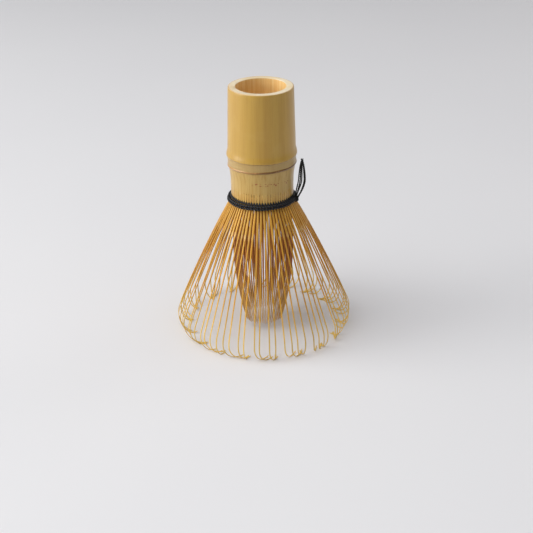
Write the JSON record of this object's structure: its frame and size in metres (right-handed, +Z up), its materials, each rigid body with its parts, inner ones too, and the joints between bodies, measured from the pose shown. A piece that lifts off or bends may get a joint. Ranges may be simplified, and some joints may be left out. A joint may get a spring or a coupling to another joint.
{
  "type": "bamboo tea whisk",
  "caption": "Bamboo tea whisk: open culm handle with one node, thread-bound roots, a flared head of hooked outer tines and a belled curtain of inner tines.",
  "frame": {"origin": "centre of the circle that the outer tine tips stand on, at the bottom of the whisk", "axes": "+Z up along the culm, from the tine tips to the cut rim; +X to the right and +Y to the back as the picture shows it, with the knot of the thread to the right"},
  "size_m": [0.0717, 0.0718, 0.1026],
  "materials": {
    "culm": "satin",
    "outer_tine": "satin",
    "inner_tine": "matte",
    "thread": "matte"
  },
  "bodies": {
    "root": {"handle": "culm", "thread_weave": "thread", "thread_binding": "thread", "thread_knot": "thread", "thread_tail": "thread"},
    "outer_sector_01": {"outer_tines_01": "outer_tine"},
    "outer_sector_02": {"outer_tines_02": "outer_tine"},
    "outer_sector_03": {"outer_tines_03": "outer_tine"},
    "outer_sector_04": {"outer_tines_04": "outer_tine"},
    "outer_sector_05": {"outer_tines_05": "outer_tine"},
    "outer_sector_06": {"outer_tines_06": "outer_tine"},
    "outer_sector_07": {"outer_tines_07": "outer_tine"},
    "outer_sector_08": {"outer_tines_08": "outer_tine"},
    "outer_sector_09": {"outer_tines_09": "outer_tine"},
    "outer_sector_10": {"outer_tines_10": "outer_tine"},
    "outer_sector_11": {"outer_tines_11": "outer_tine"},
    "outer_sector_12": {"outer_tines_12": "outer_tine"},
    "outer_sector_13": {"outer_tines_13": "outer_tine"},
    "outer_sector_14": {"outer_tines_14": "outer_tine"},
    "outer_sector_15": {"outer_tines_15": "outer_tine"},
    "outer_sector_16": {"outer_tines_16": "outer_tine"},
    "outer_sector_17": {"outer_tines_17": "outer_tine"},
    "outer_sector_18": {"outer_tines_18": "outer_tine"},
    "inner_sector_01": {"inner_tines_01": "inner_tine"},
    "inner_sector_02": {"inner_tines_02": "inner_tine"},
    "inner_sector_03": {"inner_tines_03": "inner_tine"},
    "inner_sector_04": {"inner_tines_04": "inner_tine"},
    "inner_sector_05": {"inner_tines_05": "inner_tine"},
    "inner_sector_06": {"inner_tines_06": "inner_tine"},
    "inner_sector_07": {"inner_tines_07": "inner_tine"},
    "inner_sector_08": {"inner_tines_08": "inner_tine"},
    "inner_sector_09": {"inner_tines_09": "inner_tine"}
  },
  "joints": [
    {"name": "outer_flex_01", "type": "hinge", "parent": "root", "child": "outer_sector_01", "pos_m": [0.01255, 0.00221, 0.05547], "axis": [0.1736, -0.9848, 0], "range_deg": [-4, 8], "stiffness_Nm_per_rad": 0.008},
    {"name": "outer_flex_02", "type": "hinge", "parent": "root", "child": "outer_sector_02", "pos_m": [0.01104, 0.00637, 0.05547], "axis": [0.5, -0.866, 0], "range_deg": [-4, 8], "stiffness_Nm_per_rad": 0.008},
    {"name": "outer_flex_03", "type": "hinge", "parent": "root", "child": "outer_sector_03", "pos_m": [0.00819, 0.00976, 0.05547], "axis": [0.766, -0.6428, 0], "range_deg": [-4, 8], "stiffness_Nm_per_rad": 0.008},
    {"name": "outer_flex_04", "type": "hinge", "parent": "root", "child": "outer_sector_04", "pos_m": [0.00436, 0.01198, 0.05547], "axis": [0.9397, -0.342, 0], "range_deg": [-4, 8], "stiffness_Nm_per_rad": 0.008},
    {"name": "outer_flex_05", "type": "hinge", "parent": "root", "child": "outer_sector_05", "pos_m": [0, 0.01274, 0.05547], "axis": [1, 0, 0], "range_deg": [-4, 8], "stiffness_Nm_per_rad": 0.008},
    {"name": "outer_flex_06", "type": "hinge", "parent": "root", "child": "outer_sector_06", "pos_m": [-0.00436, 0.01198, 0.05547], "axis": [0.9397, 0.342, 0], "range_deg": [-4, 8], "stiffness_Nm_per_rad": 0.008},
    {"name": "outer_flex_07", "type": "hinge", "parent": "root", "child": "outer_sector_07", "pos_m": [-0.00819, 0.00976, 0.05547], "axis": [0.766, 0.6428, 0], "range_deg": [-4, 8], "stiffness_Nm_per_rad": 0.008},
    {"name": "outer_flex_08", "type": "hinge", "parent": "root", "child": "outer_sector_08", "pos_m": [-0.01104, 0.00637, 0.05547], "axis": [0.5, 0.866, 0], "range_deg": [-4, 8], "stiffness_Nm_per_rad": 0.008},
    {"name": "outer_flex_09", "type": "hinge", "parent": "root", "child": "outer_sector_09", "pos_m": [-0.01255, 0.00221, 0.05547], "axis": [0.1736, 0.9848, 0], "range_deg": [-4, 8], "stiffness_Nm_per_rad": 0.008},
    {"name": "outer_flex_10", "type": "hinge", "parent": "root", "child": "outer_sector_10", "pos_m": [-0.01255, -0.00221, 0.05547], "axis": [-0.1736, 0.9848, 0], "range_deg": [-4, 8], "stiffness_Nm_per_rad": 0.008},
    {"name": "outer_flex_11", "type": "hinge", "parent": "root", "child": "outer_sector_11", "pos_m": [-0.01104, -0.00637, 0.05547], "axis": [-0.5, 0.866, 0], "range_deg": [-4, 8], "stiffness_Nm_per_rad": 0.008},
    {"name": "outer_flex_12", "type": "hinge", "parent": "root", "child": "outer_sector_12", "pos_m": [-0.00819, -0.00976, 0.05547], "axis": [-0.766, 0.6428, 0], "range_deg": [-4, 8], "stiffness_Nm_per_rad": 0.008},
    {"name": "outer_flex_13", "type": "hinge", "parent": "root", "child": "outer_sector_13", "pos_m": [-0.00436, -0.01198, 0.05547], "axis": [-0.9397, 0.342, 0], "range_deg": [-4, 8], "stiffness_Nm_per_rad": 0.008},
    {"name": "outer_flex_14", "type": "hinge", "parent": "root", "child": "outer_sector_14", "pos_m": [0, -0.01274, 0.05547], "axis": [-1, 0, 0], "range_deg": [-4, 8], "stiffness_Nm_per_rad": 0.008},
    {"name": "outer_flex_15", "type": "hinge", "parent": "root", "child": "outer_sector_15", "pos_m": [0.00436, -0.01198, 0.05547], "axis": [-0.9397, -0.342, 0], "range_deg": [-4, 8], "stiffness_Nm_per_rad": 0.008},
    {"name": "outer_flex_16", "type": "hinge", "parent": "root", "child": "outer_sector_16", "pos_m": [0.00819, -0.00976, 0.05547], "axis": [-0.766, -0.6428, 0], "range_deg": [-4, 8], "stiffness_Nm_per_rad": 0.008},
    {"name": "outer_flex_17", "type": "hinge", "parent": "root", "child": "outer_sector_17", "pos_m": [0.01104, -0.00637, 0.05547], "axis": [-0.5, -0.866, 0], "range_deg": [-4, 8], "stiffness_Nm_per_rad": 0.008},
    {"name": "outer_flex_18", "type": "hinge", "parent": "root", "child": "outer_sector_18", "pos_m": [0.01255, -0.00221, 0.05547], "axis": [-0.1736, -0.9848, 0], "range_deg": [-4, 8], "stiffness_Nm_per_rad": 0.008},
    {"name": "inner_flex_01", "type": "hinge", "parent": "root", "child": "inner_sector_01", "pos_m": [0.00992, 0.00313, 0.0596], "axis": [0.3007, -0.9537, 0], "range_deg": [0, 6], "stiffness_Nm_per_rad": 0.006},
    {"name": "inner_flex_02", "type": "hinge", "parent": "root", "child": "inner_sector_02", "pos_m": [0.00559, 0.00877, 0.0596], "axis": [0.8434, -0.5373, 0], "range_deg": [0, 6], "stiffness_Nm_per_rad": 0.006},
    {"name": "inner_flex_03", "type": "hinge", "parent": "root", "child": "inner_sector_03", "pos_m": [-0.00136, 0.01031, 0.0596], "axis": [0.9914, 0.1305, 0], "range_deg": [0, 6], "stiffness_Nm_per_rad": 0.006},
    {"name": "inner_flex_04", "type": "hinge", "parent": "root", "child": "inner_sector_04", "pos_m": [-0.00767, 0.00703, 0.0596], "axis": [0.6756, 0.7373, 0], "range_deg": [0, 6], "stiffness_Nm_per_rad": 0.006},
    {"name": "inner_flex_05", "type": "hinge", "parent": "root", "child": "inner_sector_05", "pos_m": [-0.01039, 0.00045, 0.0596], "axis": [0.0436, 0.999, 0], "range_deg": [0, 6], "stiffness_Nm_per_rad": 0.006},
    {"name": "inner_flex_06", "type": "hinge", "parent": "root", "child": "inner_sector_06", "pos_m": [-0.00825, -0.00633, 0.0596], "axis": [-0.6088, 0.7934, 0], "range_deg": [0, 6], "stiffness_Nm_per_rad": 0.006},
    {"name": "inner_flex_07", "type": "hinge", "parent": "root", "child": "inner_sector_07", "pos_m": [-0.00225, -0.01015, 0.0596], "axis": [-0.9763, 0.2164, 0], "range_deg": [0, 6], "stiffness_Nm_per_rad": 0.006},
    {"name": "inner_flex_08", "type": "hinge", "parent": "root", "child": "inner_sector_08", "pos_m": [0.0048, -0.00922, 0.0596], "axis": [-0.887, -0.4617, 0], "range_deg": [0, 6], "stiffness_Nm_per_rad": 0.006},
    {"name": "inner_flex_09", "type": "hinge", "parent": "root", "child": "inner_sector_09", "pos_m": [0.00961, -0.00398, 0.0596], "axis": [-0.3827, -0.9239, 0], "range_deg": [0, 6], "stiffness_Nm_per_rad": 0.006}
  ]
}
